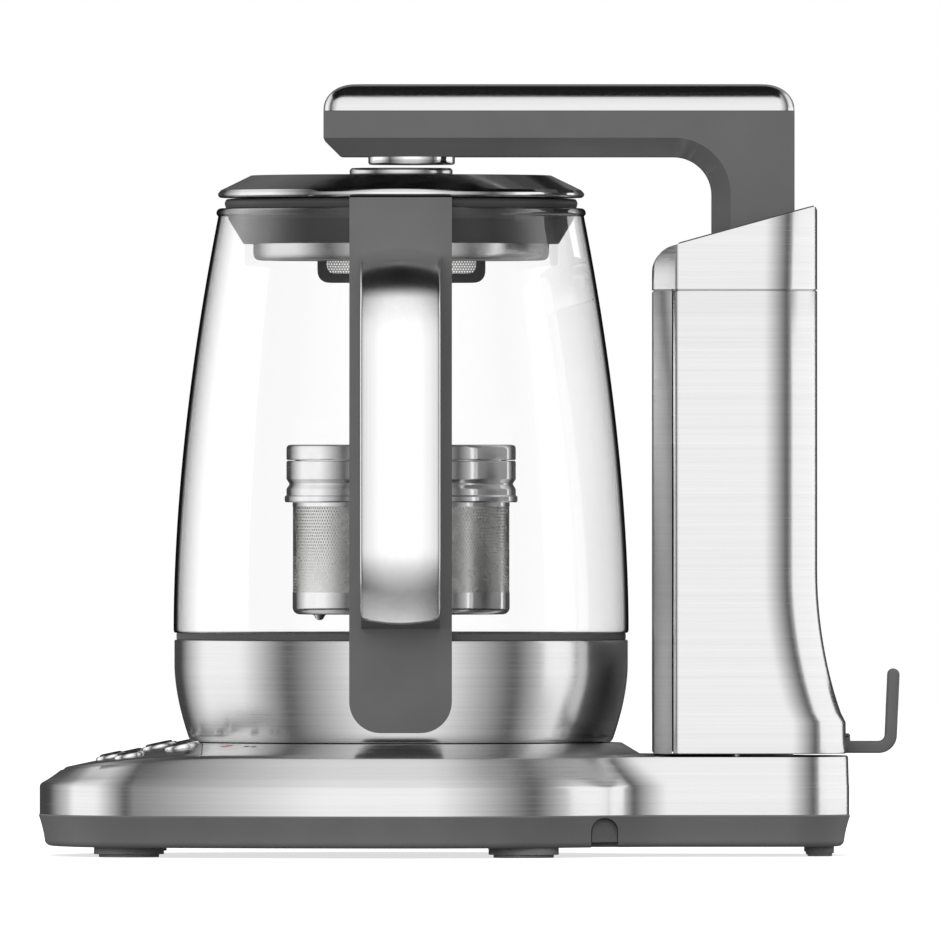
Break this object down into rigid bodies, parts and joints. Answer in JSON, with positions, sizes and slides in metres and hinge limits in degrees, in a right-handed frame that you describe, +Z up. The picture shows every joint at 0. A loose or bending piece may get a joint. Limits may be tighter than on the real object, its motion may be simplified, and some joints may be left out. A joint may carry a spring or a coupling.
{
  "type": "automatic tea maker",
  "caption": "Automatic tea maker: glass kettle with lid, tea basket on a rod, heated power station with buttons, and a motor tower whose arm raises the basket.",
  "frame": {"origin": "on the supporting surface, under the centre of the object's box", "axes": "+X from the control panel to the tower, +Y from the grip to the pouring lip, +Z up"},
  "size_m": [0.2958, 0.2196, 0.2648],
  "materials": {
    "brushed_steel_base": "brushed along the length",
    "brushed_steel_tower": "brushed level",
    "brushed_steel_kettle": "brushed round",
    "satin_steel": "satin",
    "polished_steel": "polished",
    "chrome_trim": "bright chrome",
    "grey_plastic": "fine moulded satin",
    "dark_plastic": "fine moulded satin",
    "black_gloss": "gloss",
    "inner_plastic": "plain moulded",
    "rubber_dark": "matt",
    "silicone_grey": "matt",
    "clear_glass": "clear",
    "red_lens": "translucent gloss",
    "circuit_board": "solder mask",
    "brass_contact": "plain",
    "zinc_screw": "zinc plated",
    "motor_steel": "plated can",
    "magnet_nickel": "nickel plated",
    "element_sheath": "oxidised sheath"
  },
  "bodies": {
    "base": {"base_tray": "grey_plastic", "base_skirt": "brushed_steel_base", "rubber_feet": "rubber_dark", "base_screws": "zinc_screw", "control_panel": "black_gloss", "button_bezels": "chrome_trim", "indicator_lights": "red_lens", "control_board": "circuit_board", "tact_switches": "inner_plastic", "power_board": "circuit_board", "base_connector": "inner_plastic", "connector_contacts": "brass_contact", "cord_grommet": "rubber_dark", "tower_front_panel": "brushed_steel_tower", "tower_shell": "brushed_steel_tower", "tower_cap": "brushed_steel_tower", "tower_top": "dark_plastic", "lift_chassis": "inner_plastic", "guide_rods": "polished_steel", "screw_bearings": "brass_contact", "lift_motor": "motor_steel", "limit_switches": "inner_plastic", "cord_hook": "grey_plastic"},
    "screw": {"lead_screw": "satin_steel", "shaft_coupler": "inner_plastic"},
    "carriage": {"lift_carriage": "dark_plastic", "lift_nut": "brass_contact"},
    "arm": {"arm_body": "grey_plastic", "arm_cover": "satin_steel", "coupler_cup": "chrome_trim", "coupler_magnet": "magnet_nickel", "arm_screws": "zinc_screw"},
    "kettle": {"glass_jug": "clear_glass", "rim_ring": "dark_plastic", "handle_strap": "grey_plastic", "grip_face": "satin_steel", "handle_screws": "zinc_screw", "spout_filter_frame": "dark_plastic", "spout_filter_mesh": "satin_steel", "glass_gasket": "silicone_grey", "kettle_shell": "brushed_steel_kettle", "heater_plate": "satin_steel", "heating_element": "element_sheath", "kettle_underside": "inner_plastic", "kettle_connector": "inner_plastic"},
    "lid": {"lid_cover": "polished_steel", "lid_plug": "dark_plastic", "lid_cup": "polished_steel", "lid_seal": "silicone_grey"},
    "lifter": {"rod_head": "satin_steel", "lift_rod": "polished_steel", "basket_cap": "polished_steel"},
    "basket": {"basket_collar": "polished_steel", "basket_body": "satin_steel"},
    "outer_button_left": {"outer_button_left": "black_gloss"},
    "outer_button_middle": {"outer_button_middle": "black_gloss"},
    "outer_button_right": {"outer_button_right": "black_gloss"},
    "inner_button_left": {"inner_button_left": "black_gloss"},
    "inner_button_middle": {"inner_button_middle": "black_gloss"},
    "inner_button_right": {"inner_button_right": "black_gloss"}
  },
  "joints": [
    {"name": "carriage_lift", "type": "slide", "parent": "base", "child": "carriage", "axis": [0, 0, 1], "range_m": [0, 0.06]},
    {"name": "screw_spin", "type": "hinge", "parent": "base", "child": "screw", "pos_m": [0.0975, 0.01835, 0.05], "axis": [0, 0, 1], "range_deg": [0, 2700.1]},
    {"name": "kettle_lift_off", "type": "slide", "parent": "base", "child": "kettle", "axis": [0, 0, 1], "range_m": [0, 0.03]},
    {"name": "arm_float", "type": "slide", "parent": "carriage", "child": "arm", "axis": [0, 0, 1], "range_m": [0, 0.0301]},
    {"name": "lid_turn", "type": "hinge", "parent": "kettle", "child": "lid", "pos_m": [-0.02335, 0.01835, 0.226], "axis": [0, 0, 1], "range_deg": [0, 60]},
    {"name": "basket_lift", "type": "slide", "parent": "kettle", "child": "lifter", "axis": [0, 0, 1], "range_m": [0, 0.0601]},
    {"name": "basket_twist", "type": "hinge", "parent": "lifter", "child": "basket", "pos_m": [-0.02335, 0.01835, 0.1], "axis": [0, 0, 1], "range_deg": [0, 40]},
    {"name": "outer_button_left_press", "type": "slide", "parent": "base", "child": "outer_button_left", "axis": [0.2097, 0, -0.9778], "range_m": [0, 0.0008], "stiffness_N_per_m": 400},
    {"name": "outer_button_middle_press", "type": "slide", "parent": "base", "child": "outer_button_middle", "axis": [0.2097, 0, -0.9778], "range_m": [0, 0.0008], "stiffness_N_per_m": 400},
    {"name": "outer_button_right_press", "type": "slide", "parent": "base", "child": "outer_button_right", "axis": [0.2097, 0, -0.9778], "range_m": [0, 0.0008], "stiffness_N_per_m": 400},
    {"name": "inner_button_left_press", "type": "slide", "parent": "base", "child": "inner_button_left", "axis": [0.2097, 0, -0.9778], "range_m": [0, 0.0008], "stiffness_N_per_m": 400},
    {"name": "inner_button_middle_press", "type": "slide", "parent": "base", "child": "inner_button_middle", "axis": [0.2097, 0, -0.9778], "range_m": [0, 0.0008], "stiffness_N_per_m": 400},
    {"name": "inner_button_right_press", "type": "slide", "parent": "base", "child": "inner_button_right", "axis": [0.2097, 0, -0.9778], "range_m": [0, 0.0008], "stiffness_N_per_m": 400}
  ],
  "couplings": [
    {"joint": "screw_spin", "follows": "carriage_lift", "rad_per_m": 785.4},
    {"joint": "basket_lift", "follows": "carriage_lift", "ratio": 1},
    {"joint": "arm_float", "follows": "kettle_lift_off", "ratio": 1}
  ]
}
